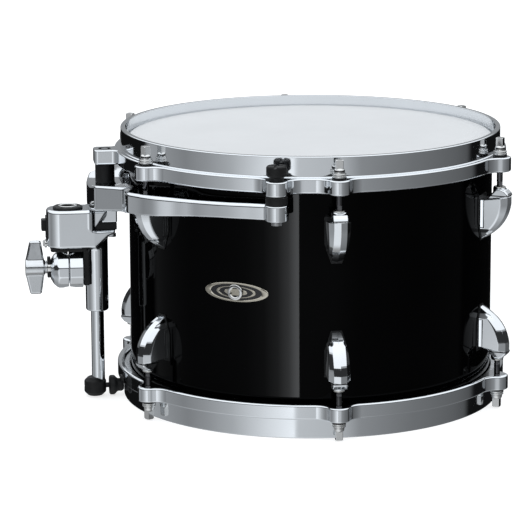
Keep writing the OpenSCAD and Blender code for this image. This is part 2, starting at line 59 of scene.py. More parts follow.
shell_lo, shell_hi = box("shell")
MID = (shell_lo[2] + shell_hi[2]) / 2
SHELL_R = shell_hi[0]
EDGE_H = shell_hi[2] - MID
hoop_lo, hoop_hi = box("resonant_hoop")
RIM_H = MID - hoop_lo[2]
SKIRT_BOTTOM = MID - hoop_hi[2]
NYLON_T = 1.9
SKIRT_TOP = box("nylon_washers")[1][2] - MID - NYLON_T
SKIRT_OUT = SHELL_R + 12.4
SKIRT_IN = SHELL_R + 7.2
COLLAR_OUT = SHELL_R + 6.9
COLLAR_IN = COLLAR_OUT - 4.5
rod_lo, rod_hi = box("batter_rod_1")
ROD_C = -(rod_lo[1] + rod_hi[1]) / 2
ROD_TOP = rod_hi[2] - MID
ROD_TIP = rod_lo[2] - MID
STACK_TOP = box("steel_washers")[1][2] - MID
LUG_FACE = box("swivel_nuts")[1][2] - MID - 1
MOUNT = -90
END_EAR_X = SHELL_R + 22.9
SPACER_X = SHELL_R + 21.9
END_EAR_H1 = box("front_spacer")[0][2] - MID
rod_l, rod_h = box("l_rod_bush")
L_ROD_X = -(rod_l[0] + rod_h[0]) / 2
support_l, support_h = box("support_rod")
TUBE_X = -(support_l[0] + support_h[0]) / 2
SUPPORT_R = (support_h[1] - support_l[1]) / 2
TUBE_R = 10.4
FLAT_TURN, FLAT_DEPTH, SET_SCREW_H = math.radians(32), 5, -31
FLAT_END_H = -85.7
BODY_OUT = L_ROD_X + 19.5
BODY_IN = L_ROD_X - 22.7
BODY_H0, BODY_H1 = 17.5, 52
SHELF_H = box("receiver_pad")[0][2] - MID
NECK_H0 = box("receiver_pad")[1][2] - MID
JAW_IN, JAW_OUT = L_ROD_X - 12.7, L_ROD_X + 13.5
JAW_H, WING_H, GAP_SHADE_H = -4.3, -2, 14.2
JAW_HALF, JAW_GAP = 16.5, 0.4
L_ROD_HOLE = 6.6
WASHER_OUT = JAW_OUT + 6
bump_l, bump_h = box("bumper_knob")
BUMPER_H = (bump_l[2] + bump_h[2]) / 2 - MID
cap_l, cap_h = box("rod_cap")
CAP_X = -(cap_l[0] + cap_h[0]) / 2
ARM_HALF_ANGLE = 73.5
BADGE_A, BADGE_H = -30.7, 2


# ---- placing: azimuth 0 faces -Y, and a local frame is (outwards, along the azimuth, h) ----

def place(points, azimuth=0.0, side=1, normal=False):
    """Points of a local frame in the row frame; side -1 turns them over to the lower end."""
    a = math.radians(azimuth)
    x, y, z = np.asarray(points, float).T
    out = np.stack([x * math.sin(a) + y * math.cos(a), -x * math.cos(a) + y * math.sin(a), side * z], 1)
    if not normal:
        out[:, 2] += MID
    return out


def lug_azimuth(i):
    return i * 60


# ---- meshes ----

class Shape:
    """Vertices, faces (a list of index arrays) and, where they are known, vertex normals."""

    def __init__(self, verts, faces, normals=None):
        self.v = np.asarray(verts, float)
        self.f = [np.asarray(f, np.int64) for f in faces if len(f)]
        self.n = None if normals is None else np.asarray(normals, float)

    def at(self, azimuth=0.0, side=1):
        n = None if self.n is None else place(self.n, azimuth, side, True)
        return Shape(place(self.v, azimuth, side), [f[:, ::side] for f in self.f], n)

    def moved(self, x=0.0, y=0.0, z=0.0):
        return Shape(self.v + (x, y, z), self.f, self.n)

    def turned(self, order):
        """Axes taken in another order, to lay a lathe along another axis."""
        return Shape(self.v[:, order], self.f, None if self.n is None else self.n[:, order])


def joined(shapes):
    base, v, f, n = 0, [], [], []
    for s in shapes:
        v.append(s.v)
        f += [k + base for k in s.f]
        n.append(s.n)
        base += len(s.v)
    return Shape(np.concatenate(v), f, None if any(k is None for k in n) else np.concatenate(n))


def grid_faces(rows, cols, wrap_rows=False, wrap_cols=False):
    r = np.arange(rows if wrap_rows else rows - 1)
    c = np.arange(cols if wrap_cols else cols - 1)
    r, c = (k.ravel() for k in np.meshgrid(r, c, indexing="ij"))
    r1, c1 = (r + 1) % rows, (c + 1) % cols
    return np.stack([r * cols + c, r * cols + c1, r1 * cols + c1, r1 * cols + c], 1)


def soften(points, radius, steps=4):
    """A closed outline with its corners rounded. A point's third number is its own radius."""
    out = []
    for i, p in enumerate(points):
        b = np.array(p[:2], float)
        a, c = (np.array(points[(i + k) % len(points)][:2], float) for k in (-1, 1))
        rad = p[2] if len(p) > 2 else radius
        la, lc = np.linalg.norm(a - b), np.linalg.norm(c - b)
        ua, uc = (a - b) / la, (c - b) / lc
        angle = math.acos(np.clip(ua @ uc, -1, 1))
        if rad <= 0 or angle > 3.1:
            out.append(b)
            continue
        t = min(rad / math.tan(angle / 2), 0.48 * la, 0.48 * lc)
        for s in np.linspace(0, 1, steps + 1):
            out.append((1 - s) ** 2 * (b + ua * t) + 2 * s * (1 - s) * b + s * s * (b + uc * t))
    return np.array(out)


def lathe(profile, n=96):
    """A closed profile of (radius, height) turned about the vertical axis."""
    p = np.asarray(profile, float)
    a = np.arange(n) * 2 * math.pi / n
    v = np.stack([p[:, :1] * np.cos(a), p[:, :1] * np.sin(a), p[:, 1:] + 0 * a], -1).reshape(-1, 3)
    return Shape(v, [grid_faces(len(p), n, wrap_rows=True, wrap_cols=True)])


def turned_part(points, radius=0.4, n=64, steps=3):
    """A lathe whose corners are rounded; points on the axis stay where they are."""
    return lathe(soften([p if p[0] > 0 else (0, p[1], 0) for p in points], radius, steps), n)


def along_x(shape, x=0.0, h=0.0):
    """A lathe laid down, so that its height runs along local +X from x."""
    return shape.turned([2, 0, 1]).moved(x, 0, h)


def piece(name, shape, body, mat, nodes, sharp=35):
    """A finished mesh object on its CAD body."""
    me = bpy.data.meshes.new(name)
    v = shape.v * MM
    me.vertices.add(len(v))
    me.vertices.foreach_set("co", v.ravel())
    loops = np.concatenate([f.ravel() for f in shape.f])
    sizes = np.concatenate([np.full(len(f), f.shape[1]) for f in shape.f])
    me.loops.add(len(loops))
    me.loops.foreach_set("vertex_index", loops)
    me.polygons.add(len(sizes))
    me.polygons.foreach_set("loop_start", np.concatenate([[0], np.cumsum(sizes)[:-1]]))
    me.update(calc_edges=True)
    if shape.n is None:
        bm = bmesh.new()
        bm.from_mesh(me)
        bmesh.ops.remove_doubles(bm, verts=bm.verts, dist=2e-6)
        bmesh.ops.recalc_face_normals(bm, faces=bm.faces)
        bm.to_mesh(me)
        bm.free()
    me.shade_smooth()
    if shape.n is None:
        me.set_sharp_from_angle(angle=math.radians(sharp))
    else:
        me.normals_split_custom_set_from_vertices(shape.n)
    ob = bpy.data.objects.new(name, me)
    bpy.context.scene.collection.objects.link(ob)
    me.materials.append(mat)
    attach(ob, body)
    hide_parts(*nodes)
    return ob


# ---- smooth solids from distance fields: negative inside ----

def smin(a, b, k):
    h = np.maximum(k - np.abs(a - b), 0) / k
    return np.minimum(a, b) - h * h * k / 4


def smax(a, b, k):
    return -smin(-a, -b, k)


DIAGONAL = 0.7071  # keeps a 45 degree cut's distance true


def bevel(a, b, c, k=0.5):
    """Both, with a flat bevel of width c along the edge where they meet."""
    return smax(smax(a, b, k), (a + b + c) * DIAGONAL, k)


def polygon(points, x, y):
    d, inside = np.full(x.shape, 1e9), np.zeros(x.shape, bool)
    for a, b in zip(points, np.roll(points, -1, 0)):
        e = b - a
        wx, wy = x - a[0], y - a[1]
        t = np.clip((wx * e[0] + wy * e[1]) / (e @ e), 0, 1)
        d = np.minimum(d, (wx - e[0] * t) ** 2 + (wy - e[1] * t) ** 2)
        if e[1]:
            inside ^= ((a[1] <= y) != (b[1] <= y)) & (wx < wy * e[0] / e[1])
    return np.where(inside, -1, 1) * np.sqrt(d)


def slab(x, lo, hi):
    return np.abs(x - (lo + hi) / 2) - (hi - lo) / 2


def rounded(a, b, r):
    """Extrusion of the flat field a by the slab b, with every edge rounded to r."""
    wa, wb = a + r, b + r
    return np.minimum(np.maximum(wa, wb), 0) + np.hypot(np.maximum(wa, 0), np.maximum(wb, 0)) - r


def solid(field, lo, hi, step):
    """The zero surface of a field as quads, its vertices moved onto it, with exact normals."""
    lo, hi = np.array(lo, float), np.array(hi, float)
    axes = [np.arange(a - 2 * step, b + 3 * step, step) for a, b in zip(lo, hi)]
    s = field(*np.meshgrid(*axes, indexing="ij")) < 0
    count = sum(s[i:s.shape[0] - 1 + i, j:s.shape[1] - 1 + j, k:s.shape[2] - 1 + k].astype(np.int8)
                for i in (0, 1) for j in (0, 1) for k in (0, 1))
    crossed = (count > 0) & (count < 8)
    index = np.full(crossed.shape, -1)
    index[crossed] = np.arange(crossed.sum())
    cell = np.argwhere(crossed)
    v = np.stack([axes[i][cell[:, i]] + step / 2 for i in range(3)], 1)

    def slope(p):
        e = 0.02
        return np.stack([(field(*(p + d).T) - field(*(p - d).T)) / (2 * e) for d in np.eye(3) * e], 1)

    for _ in range(5):
        g = slope(v)
        move = g * (field(*v.T) / np.maximum((g * g).sum(1), 0.05))[:, None]
        v = v - np.clip(move, -step / 2, step / 2)
    g = slope(v)
    quads = []
    for ax in range(3):
        a, b = [slice(None)] * 3, [slice(None)] * 3
        a[ax], b[ax] = slice(None, -1), slice(1, None)
        for falling in (False, True):
            edge = (s[tuple(b)] & ~s[tuple(a)]) if falling else (s[tuple(a)] & ~s[tuple(b)])
            at = np.argwhere(edge)
            o1, o2 = np.eye(3, dtype=int)[(ax + 1) % 3], np.eye(3, dtype=int)[(ax + 2) % 3]
            ring = [index[tuple((at - k).T)] for k in (o1 * 0, o1, o1 + o2, o2)]
            q = np.stack(ring, 1)
            quads.append(q[:, ::-1] if falling else q)
    return Shape(v, quads, g / np.maximum(np.linalg.norm(g, axis=1), 1e-9)[:, None])


# ---- materials ----

def nodes_of(mat):
    mat.use_nodes = True
    tree = mat.node_tree
    return tree, tree.nodes["Principled BSDF"]


def math_node(tree, operation, *values):
    node = tree.nodes.new("ShaderNodeMath")
    node.operation = operation
    for socket, value in zip(node.inputs, values):
        if isinstance(value, bpy.types.NodeSocket):
            tree.links.new(value, socket)
        else:
            socket.default_value = value
    return node.outputs[0]


def noise(tree, scale, detail=3.0, stretch=(1, 1, 1)):
    """A noise texture in object space; scale is in features per metre."""
    coords = tree.nodes.new("ShaderNodeTexCoord")
    mapping = tree.nodes.new("ShaderNodeMapping")
    mapping.inputs["Scale"].default_value = [scale * s for s in stretch]
    tex = tree.nodes.new("ShaderNodeTexNoise")
    tex.inputs["Scale"].default_value = 1
    tex.inputs["Detail"].default_value = detail
    tree.links.new(coords.outputs["Object"], mapping.inputs["Vector"])
    tree.links.new(mapping.outputs["Vector"], tex.inputs["Vector"])
    return tex.outputs["Fac"]


def between(tree, factor, lo, hi, at=(0.3, 0.7)):
    node = tree.nodes.new("ShaderNodeMapRange")
    for name, value in zip(("From Min", "From Max", "To Min", "To Max"), (*at, lo, hi)):
        node.inputs[name].default_value = value
    tree.links.new(factor, node.inputs["Value"])
    return node.outputs["Result"]


def mixed(tree, factor, a, b):
    """Colour a to colour b; each is a colour or a socket."""
    node = tree.nodes.new("ShaderNodeMix")
    node.data_type = "RGBA"
    tree.links.new(factor, node.inputs["Factor"])
    for name, value in (("A", a), ("B", b)):
        socket = next(s for s in node.inputs if s.name == name and s.type == "RGBA")
        if isinstance(value, bpy.types.NodeSocket):
            tree.links.new(value, socket)
        else:
            socket.default_value = (*value, 1)
    return next(s for s in node.outputs if s.type == "RGBA")


def finish(name, colour, rough, metallic=0.0, vary=0.06, patch=45, rough_vary=0.03, grain=None,
           stretch=(1, 1, 1), level=None):
    """A material whose colour and roughness wander over patches, with a fine grain as bump.
    grain is (features per metre, height in millimetres)."""
    mat = bpy.data.materials.new(name)
    tree, bsdf = nodes_of(mat)
    cloud = noise(tree, patch, stretch=stretch)
    dark, light = ([c * k for c in colour] for k in (1 - vary, 1 + vary))
    tree.links.new(mixed(tree, between(tree, cloud, 0, 1), dark, light), bsdf.inputs["Base Color"])
    smear = noise(tree, patch * 2.7, 4, stretch)
    tree.links.new(between(tree, smear, rough - rough_vary, rough + rough_vary), bsdf.inputs["Roughness"])
    bsdf.inputs["Metallic"].default_value = metallic
    if grain:
        bump = tree.nodes.new("ShaderNodeBump")
        bump.inputs["Strength"].default_value = 1
        bump.inputs["Distance"].default_value = grain[1] * MM
        tree.links.new(noise(tree, grain[0], 5, stretch), bump.inputs["Height"])
        tree.links.new(bump.outputs["Normal"], bsdf.inputs["Normal"])
    if level is not None:
        bsdf.inputs["Specular IOR Level"].default_value = level
    return mat


CHROME = finish("chrome_plate", (0.87, 0.895, 0.92), 0.055, 1, 0.015, 30, 0.02, (160, 0.003))
POLISHED = finish("chrome_casting_plate", (0.86, 0.885, 0.91), 0.075, 1, 0.02, 24, 0.025, (140, 0.005))
BRIGHT_STEEL = finish("bright_steel_plate", (0.80, 0.80, 0.79), 0.13, 1, 0.04, 90, 0.04, (900, 0.002))
SATIN = finish("satin_alloy", (0.78, 0.80, 0.82), 0.2, 1, 0.03, 60, 0.05, (1300, 0.003))
PLAIN_STEEL = finish("zinc_steel", (0.50, 0.51, 0.52), 0.32, 1, 0.1, 120, 0.08, (1500, 0.006))
BLACKENED = finish("blackened_steel", (0.03, 0.03, 0.032), 0.35, 1, 0.1, 120, 0.08, (1500, 0.006))
BRASS = finish("plated_brass", (0.80, 0.79, 0.75), 0.16, 1, 0.05, 150, 0.05, (900, 0.003))
RUBBER = finish("black_rubber", (0.006, 0.0062, 0.0066), 0.5, 0, 0.3, 110, 0.08, (2600, 0.02), level=0.3)
NYLON = finish("black_nylon", (0.006, 0.006, 0.0065), 0.38, 0, 0.2, 140, 0.06, (1800, 0.008), level=0.3)
LACQUER = finish("black_lacquer", (0.0005, 0.0005, 0.0006), 0.03, 0, 0.3, 12, 0.006, (60, 0.002), level=0.05)
FILM = finish("coated_film", (0.765, 0.77, 0.775), 0.62, 0, 0.018, 18, 0.05, (1900, 0.03), level=0.35)


def badge_material():
    """Dark enamel in the low field, brushed champagne metal on every raised line."""
    mat = finish("badge_enamel_and_metal", (0.62, 0.58, 0.49), 0.24, 1, 0.08, 400, 0.06,
                 (2600, 0.004), (1, 1, 6))
    tree, bsdf = nodes_of(mat)
    coords = tree.nodes.new("ShaderNodeTexCoord")
    flat = tree.nodes.new("ShaderNodeVectorMath")
    flat.operation = "MULTIPLY"
    flat.inputs[1].default_value = (1, 1, 0)
    length = tree.nodes.new("ShaderNodeVectorMath")
    length.operation = "LENGTH"
    tree.links.new(coords.outputs["Object"], flat.inputs[0])
    tree.links.new(flat.outputs["Vector"], length.inputs[0])
    low = (SHELL_R + BADGE_FIELD) * MM
    raised = between(tree, length.outputs["Value"], 0, 1, (low + 0.1 * MM, low + 0.2 * MM))
    metal = bsdf.inputs["Base Color"].links[0].from_socket
    tree.links.new(mixed(tree, raised, (0.012, 0.012, 0.014), metal), bsdf.inputs["Base Color"])
    tree.links.new(raised, bsdf.inputs["Metallic"])
    return mat


def with_painted_shade(mat, ranges, colour):
    """The material with a painted shade colour in ranges of distance above and below the middle."""
    # the mixed-in colour is painted shade, not a colour the plating has
    tree, bsdf = nodes_of(mat)
    split = tree.nodes.new("ShaderNodeSeparateXYZ")
    tree.links.new(tree.nodes.new("ShaderNodeTexCoord").outputs["Object"], split.inputs[0])
    off = math_node(tree, "ABSOLUTE", math_node(tree, "SUBTRACT", split.outputs["Z"], MID * MM))
    for lo, hi in ranges:
        inside = math_node(tree, "MULTIPLY", between(tree, off, 0, 1, ((lo - 0.15) * MM, (lo + 0.15) * MM)),
                           between(tree, off, 1, 0, ((hi - 0.15) * MM, (hi + 0.15) * MM)))
        plated = bsdf.inputs["Base Color"].links[0].from_socket
        tree.links.new(mixed(tree, inside, plated, colour), bsdf.inputs["Base Color"])
    return mat


# Painted shade: the rod is darkened from the middle out to the hoop's skirt, standing in for the shade under
# the hoop.
ROD_STEEL_PAINTED_SHADE = with_painted_shade(finish("plated_rod_steel_painted_shade", (0.80, 0.80, 0.79), 0.13, 1, 0.04, 90, 0.04, (900, 0.002)),
                     [(0, SKIRT_BOTTOM)], (0.1, 0.1, 0.105))
# Painted shade: a dark line around the lug's roof block, 70.5 to 71.5 mm from the middle, in place of a
# shaded groove.
lug_plate_painted_shade = finish("lug_chrome_plate_painted_shade", (0.87, 0.895, 0.92), 0.055, 1, 0.015, 30, 0.02, (160, 0.003))
LUG_CHROME_PAINTED_SHADE = with_painted_shade(lug_plate_painted_shade, [(70.5, 71.5)], (0.03, 0.03, 0.03))


# ---- shell, badge and vent ----

R = SHELL_R
edge = soften([(R - 7, -EDGE_H + 5.2), (R - 1.8, -EDGE_H, 0.6),
               (R, -EDGE_H + 1.8, 1.2), (R, EDGE_H - 1.8, 1.2),
               (R - 1.8, EDGE_H, 0.6), (R - 7, EDGE_H - 5.2)], 0.5)
SHELL = piece("drum_shell", lathe(edge, 360).at(), "root", LACQUER, ["shell"], sharp=50)

BADGE_W, BADGE_V, BADGE_FIELD = 30, 8.5, 0.75


def badge_shape():
    """An oval plate bent to the shell: a raised rim, two raised inner ovals and a sunk field between."""
    rows = [(0, 1.15), (0.3, 1.15), (0.34, 1.15), (0.37, BADGE_FIELD), (0.52, BADGE_FIELD), (0.545, 1.15),
            (0.6, 1.15), (0.625, BADGE_FIELD), (0.8, BADGE_FIELD), (0.825, 1.25), (0.85, 1.45), (0.955, 1.45),
            (0.985, 1.3), (1, 1), (1, 0.02), (0.5, 0.02), (0, 0.02)]
    t = np.arange(160) * 2 * math.pi / 160
    verts = []
    for share, lift in rows:
        u, w = share * BADGE_W * np.cos(t), share * BADGE_V * np.sin(t)
        a = np.radians(BADGE_A) + u / R
        verts.append(np.stack([(R + lift) * np.sin(a), -(R + lift) * np.cos(a), MID + BADGE_H + w], 1))
    return Shape(np.concatenate(verts), [grid_faces(len(rows), 160, wrap_cols=True)])


piece("badge_plate", badge_shape(), "root", badge_material(), ["badge"], sharp=20)
eyelet = turned_part([(4.2, R - 9.6), (7.6, R - 9.6), (7.6, R - 8.8), (5.5, R - 8.8), (5.5, R + 1.75),
                      (7.3, R + 1.8), (6.7, R + 2.8, 0.8), (5.0, R + 3.1, 0.6), (4.2, R + 2.6)], 0.3, 72)
piece("vent_grommet", along_x(eyelet, 0, BADGE_H).at(BADGE_A), "root", BRIGHT_STEEL,
      ["vent_eyelet"])

# ---- heads and hoops ----

film = soften([(0, EDGE_H, 0), (R - 1.8, EDGE_H), (R + 0.4, EDGE_H - 2), (R + 1.8, SKIRT_TOP - 0.5),
               (R + 1.8, SKIRT_TOP - 7.4, 0), (R + 2.3, SKIRT_TOP - 7.4, 0), (R + 2.3, SKIRT_TOP - 0.3),
               (R + 1.1, EDGE_H - 1.6, 1.2), (R - 1.5, EDGE_H + 0.5, 1.2), (R - 9, EDGE_H + 0.5, 0),
               (0, EDGE_H + 0.5, 0)], 0.3)
flesh = turned_part([(R + 0.8, SKIRT_TOP - 9.3), (R + 6.2, SKIRT_TOP - 9.3), (R + 6.2, SKIRT_TOP - 1),
                     (R + 2.35, SKIRT_TOP - 1), (R + 2.35, SKIRT_TOP - 7.4), (R + 0.8, SKIRT_TOP - 7.4)],
                    0.5, 240)


def sweep(centre, radius, a0, a1, outwards=1, step=0.5):
    """Points of an arc and the directions that face away from the body."""
    n = max(3, int(abs(a1 - a0) * radius / step) + 1)
    d = np.stack([np.cos(np.linspace(a0, a1, n)), np.sin(np.linspace(a0, a1, n))], 1)
    return np.array(centre) + radius * d, outwards * d


def run(p0, p1, direction, n=8):
    t = np.linspace(0, 1, n)[:, None]
    return np.array(p0) * (1 - t) + np.array(p1) * t, np.tile(direction, (n, 1)).astype(float)


def round_ear(c, e, f=14.0):
    """Half of a round ear's outline from its tip, ending on the skirt, and the angle where it ends."""
    s = SKIRT_OUT + f
    th = math.acos((s * s + c * c - (e + f) ** 2) / (2 * s * c))
    fx, fy = s * math.cos(th), s * math.sin(th)
    psi = math.atan2(fy, fx - c)
    return [sweep((c, 0), e, 0, psi), sweep((fx, fy), f, psi + math.pi, th + math.pi, -1)], th


def tab_ear(far, half, corner=4.0, f=5.0):
    s = SKIRT_OUT + f
    xf = math.sqrt(s * s - (half + f) ** 2)
    th = math.atan2(half + f, xf)
    return [run((far, 0), (far, half - corner), (1, 0)),
            sweep((far - corner, half - corner), corner, 0, math.pi / 2),
            run((far - corner, half), (xf, half), (0, 1)),
            sweep((xf, half + f), f, 1.5 * math.pi, th + math.pi, -1)], th


def hoop_outline(ears):
    """The skirt's outline with its ears, as points and outward directions, once around."""
    ears = sorted(ears, key=lambda e: e[0])
    p, n = [], []
    for i, (azimuth, (parts, th)) in enumerate(ears):
        hp, hn = (np.concatenate([part[k] for part in parts]) for k in (0, 1))
        keep = np.concatenate([[True], np.linalg.norm(np.diff(hp, axis=0), axis=1) > 1e-6])
        hp, hn = hp[keep], hn[keep]
        whole_p = np.concatenate([hp[:0:-1] * (1, -1), hp])
        whole_n = np.concatenate([hn[:0:-1] * (1, -1), hn])
        a = math.radians(azimuth)
        axes = np.array([[math.sin(a), -math.cos(a)], [math.cos(a), math.sin(a)]])
        p.append(whole_p @ axes)
        n.append(whole_n @ axes)
        after = ears[(i + 1) % len(ears)]
        start, end = azimuth + math.degrees(th), after[0] - math.degrees(after[1][1])
        end += 360 if end < start else 0
        b = np.radians(np.linspace(start, end, int((end - start) / 0.5) + 2)[1:-1])
        d = np.stack([np.sin(b), -np.cos(b)], 1)
        p.append(SKIRT_OUT * d)
        n.append(d)
    return np.concatenate(p), np.concatenate(n)


def quarter(kind, centre, h, r, a0, a1, outwards=1, steps=5):
    """Section points around an arc. Kind "o" counts inwards from the outline, kind "r" is a radius."""
    rows = []
    for b in np.radians(np.linspace(a0, a1, steps + 1)):
        along = r - r * math.cos(b) if kind == "o" else centre + r * math.cos(b)
        rows.append((kind, along, h + r * math.sin(b), outwards * math.cos(b), outwards * math.sin(b)))
    return rows


def hoop(ears):
    top, low, out, inn = 1.5, 2.0, COLLAR_OUT, COLLAR_IN
    section = (quarter("r", SKIRT_IN + 0.5, SKIRT_BOTTOM + 0.5, 0.5, 180, 270)
               + quarter("o", 0, SKIRT_BOTTOM + low, low, -90, 0)
               + quarter("o", 0, SKIRT_TOP - top, top, 0, 90, 1, 7)
               + quarter("r", out + 1, SKIRT_TOP + 1, 1, 270, 180, -1)
               + quarter("r", out - 1, RIM_H - 1, 1, 0, 90)
               + quarter("r", inn + 0.6, RIM_H - 0.6, 0.6, 90, 180)
               + quarter("r", inn + 0.5, SKIRT_TOP - 0.5, 0.5, 180, 270)
               + quarter("r", SKIRT_IN - 0.3, SKIRT_TOP - 1.3, 0.3, 90, 0, -1, 3))
    p, n = hoop_outline(ears)
    radial = p / np.linalg.norm(p, axis=1)[:, None]
    verts, norms = [], []
    for kind, along, h, lateral, up in section:
        flat = p - n * along if kind == "o" else radial * along
        side = n if kind == "o" else radial
        verts.append(np.column_stack([flat, np.full(len(p), h)]))
        norms.append(np.column_stack([side * lateral, np.full(len(p), up)]))
    return Shape(np.concatenate(verts), [grid_faces(len(section), len(p), True, True)], np.concatenate(norms))


def over(shape, side):
    """A shape about the drum's axis, lifted to the middle and turned over for the lower end."""
    n = None if shape.n is None else shape.n * (1, 1, side)
    return Shape(shape.v * (1, 1, side) + (0, 0, MID), [f[:, ::side] for f in shape.f], n)


rod_ears = [(lug_azimuth(i), round_ear(ROD_C, 9.9)) for i in range(6)]
mount_ears = [(MOUNT % 360, tab_ear(SPACER_X + 10, 11))]
mount_ears += [((MOUNT + s * ARM_HALF_ANGLE) % 360, round_ear(END_EAR_X, 10)) for s in SIDES]
for side in SIDES:
    end = END_NAME[side]
    piece(end + "_head_film", over(lathe(film, 360), side), "root", FILM, [end + "_film"])
    piece(end + "_flesh_channel", over(flesh, side), "root", SATIN, [end + "_flesh_hoop"])
    ears = rod_ears + (mount_ears if side > 0 else [])
    piece(end + "_cast_hoop", over(hoop(ears), side), "root", POLISHED, [end + "_hoop"])

# ---- lugs ----

LUG_OUT = R + 27.3
lug_curve = np.array([(1 - t) ** 2 * np.array([R + 1, 30.6]) + 2 * t * (1 - t) * np.array([R + 24.5, 42])
                      + t * t * np.array([LUG_OUT, 64]) for t in np.linspace(0, 1, 25)])
LUG_ROOF = np.array([(LUG_OUT - 4, 69.6), (LUG_OUT - 0.9, 70.9), (LUG_OUT - 1.9, 73.2), (LUG_OUT - 4.6, 75.9),
                     (LUG_OUT - 8.6, 77.6), (R + 14.5, 77.4), (R + 4, 66), (R + 10, 66)])
LUG_PLAN = np.array([(R - 40, -12.4), (LUG_OUT - 7.6, -9.7), (LUG_OUT - 1.9, -5.7), (LUG_OUT, 0),
                     (LUG_OUT - 1.9, 5.7), (LUG_OUT - 7.6, 9.7), (R - 40, 12.4)])


def lug_field(x, y, z):
    """A faceted bow that tapers to its foot, a roof block on its top and a neck for the swivel nut."""
    across = np.abs(y)
    bow = polygon(LUG_PLAN, x - np.interp(z, lug_curve[:, 1], lug_curve[:, 0]) + LUG_OUT, y)
    d = smax(bow, across - np.interp(z, (31, 37, 41, 68), (4.2, 5.7, 8.7, 10.1)), 0.8)
    d = smax(smax(d, z - 67.7 - (x - R - 5) * 0.135, 0.9), 30.6 - z, 0.5)
    foot = smax(smax(x - R - 4.5, slab(z, 42, 72), 0.5), 8.4 - across, 0.5)
    d = smax(d, -foot, 0.6)
    along = x - R - 11
    scoop = np.sqrt((along / 5.5) ** 2 + ((z - 38.2 - along * 0.35) / 1.7) ** 2 + ((across - 8) / 3.2) ** 2)
    d = smax(d, (1 - scoop) * 1.7, 0.5)
    roof = rounded(polygon(LUG_ROOF, x, z), across - 6.6, 1.6)
    d = smin(d, roof, 0.3)
    neck = rounded(np.hypot(x - ROD_C, y) - 5.8, slab(z, 64, LUG_FACE), 0.7)
    return smax(smin(d, neck, 0.8), R + 0.82 - np.hypot(x, y), 0.5)


lug = solid(lug_field, (R - 1, -10.6, 30), (LUG_OUT, 10.6, 78.2), 0.45)
for side in SIDES:
    end = END_NAME[side]
    piece(end + "_lug_castings", joined([lug.at(lug_azimuth(i), side) for i in range(6)]), "root",
          LUG_CHROME_PAINTED_SHADE, [end + "_lugs"])


def on_each_ear(shape):
    return joined([shape.moved(ROD_C).at(lug_azimuth(i), side) for side in SIDES for i in range(6)])


nut = turned_part([(2.85, 62.8), (4.5, 62.8), (4.5, LUG_FACE), (5.4, LUG_FACE + 0.02), (5.4, LUG_FACE + 1),
                   (2.85, LUG_FACE + 1)], 0.3, 48)
piece("swivel_nut_flanges", on_each_ear(nut), "root", BRASS, ["swivel_nuts"])
washer = turned_part([(3.2, 0), (6.2, 0), (6.2, 1.25), (5.3, 1.55), (5.3, 2), (6, 2.3), (6, 3.3, 0.6),
                      (3.2, 3.3)], 0.3, 56)
piece("flanged_washers", on_each_ear(washer.moved(z=SKIRT_TOP + NYLON_T)), "root",
      BRIGHT_STEEL, ["steel_washers"])
nylon = turned_part([(3.1, 0), (6.2, 0), (6.2, NYLON_T), (3.1, NYLON_T)], 0.35, 56)
piece("nylon_ring_washers", on_each_ear(nylon.moved(z=SKIRT_TOP)), "root", NYLON,
      ["nylon_washers"])

# ---- tension rods ----


def threaded(r, h0, h1, pitch=0.9, depth=0.32, n=28, per_turn=6):
    """A shank with a helical thread, closed at both ends."""
    rows = int((h1 - h0) / pitch * per_turn) + 1
    z, a = np.linspace(h0, h1, rows)[:, None], np.arange(n)[None, :] * 2 * math.pi / n
    turn = (z / pitch - a / (2 * math.pi)) % 1
    fade = np.clip(np.minimum(z - h0, h1 - z) / 1.2, 0, 1)
    rad = r - depth * fade * np.abs(2 * turn - 1)
    v = np.stack([rad * np.cos(a), rad * np.sin(a), z + 0 * a], -1)
    v = np.concatenate([v[:1] * (0, 0, 1), v, v[-1:] * (0, 0, 1)]).reshape(-1, 3)
    return Shape(v, [grid_faces(rows + 2, n, wrap_cols=True)])


def key_head_field(x, y, z):
    half = 3.2
    square = smax(np.abs(x), np.abs(y), 0.5) - half
    cone = (np.hypot(x, y) - 3.95) * 0.75 + (z - ROD_TOP + 0.25) * 0.66
    return smax(smax(square, slab(z, STACK_TOP + 3.6, ROD_TOP), 0.3), cone, 0.3)


key = solid(key_head_field, (-3.3, -3.3, STACK_TOP + 3.5), (3.3, 3.3, ROD_TOP), 0.22)
key.n = None
dome = turned_part([(0, 0), (4.9, 0), (4.9, 1.5, 0.8), (4.55, 3.3, 1), (3.3, 4.5, 0.5), (0, 4.5)], 0.3, 56)
shank = turned_part([(0, 84), (2.74, 84), (2.74, STACK_TOP + 1), (0, STACK_TOP + 1)], 0.1, 28)
rod = joined([threaded(2.75, ROD_TIP, 84.2), shank, dome.moved(z=STACK_TOP), key]).moved(ROD_C)
for side in SIDES:
    for i in range(6):
        body = f"{END_NAME[side]}_rod_{i + 1}"
        piece(f"{END_NAME[side]}_tension_rod_{i + 1}", rod.at(lug_azimuth(i), side), body,
              ROD_STEEL_PAINTED_SHADE, [body])

# ---- suspension arm ----

# degrees from the front or the rear, inner and outer distance from the shell, lower and upper h
ARM = np.array([
    (10, 9, 23, 71.1, 85.1), (17, 9, 23, 71.1, 85), (24, 7.4, 21.4, 71, 84.8), (34, 6.9, 20.9, 70.3, 84),
    (41, 7.4, 21.4, 69, 83.4), (46, 12, 25.5, 67.8, 83.6), (50.5, 22, 32.5, 67, 84.2),
    (55, 28.5, 35, 66.2, 84.1), (61, 28.5, 35, 64.8, 83), (64, 23, 31, 63, 82.2),
    (68, 12, 23.4, 60.5, 81), (72, 7, 18.6, 58.4, 80), (76, 6.4, 15.4, 57, 79.4),
    (80, 6.2, 14.4, 55.4, 78.4), (84, 6.2, 14.4, 54.3, 75.6), (90, 6.2, 14.4, 53.6, 75.3)])
